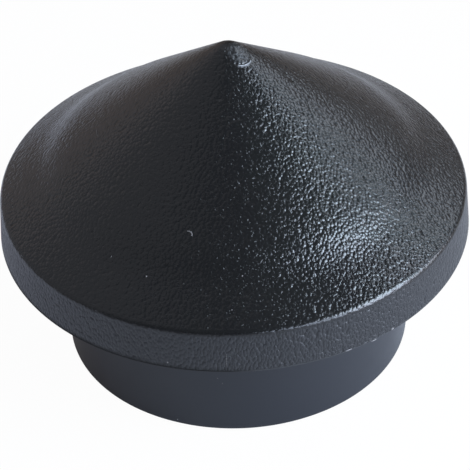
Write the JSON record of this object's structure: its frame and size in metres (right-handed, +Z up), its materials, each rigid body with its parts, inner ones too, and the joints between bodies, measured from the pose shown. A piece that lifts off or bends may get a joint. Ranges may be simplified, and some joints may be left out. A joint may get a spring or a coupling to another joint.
{
  "type": "post end cap",
  "caption": "Round push-in end cap for a steel sign post: a grained conical rain hood with a drip rim, pressed onto a smooth hollow plug with a flange.",
  "frame": {"origin": "on the axis of the plug, in the plane where the end of the post seats under the rim", "axes": "+Z up along the post's axis to the hood's tip; the cap is round, so +X and +Y are any two directions square to it, and -Y faces the viewer of the picture"},
  "size_m": [0.0762, 0.0762, 0.0553],
  "materials": {
    "hood_plastic": "black polypropylene, moulded with a coarse leather-like grain",
    "plug_plastic": "black polyethylene, smooth satin",
    "seal_rubber": "black EPDM ring, smooth",
    "gasket_rubber": "dark grey EPDM sheet, matt"
  },
  "bodies": {
    "plug": {"plug": "plug_plastic", "post_gasket": "gasket_rubber", "hood_seal": "seal_rubber"},
    "hood": {"hood": "hood_plastic"}
  },
  "joints": [
    {"name": "hood_lift", "type": "slide", "parent": "plug", "child": "hood", "axis": [0, 0, 1], "range_m": [0, 0.03]}
  ]
}
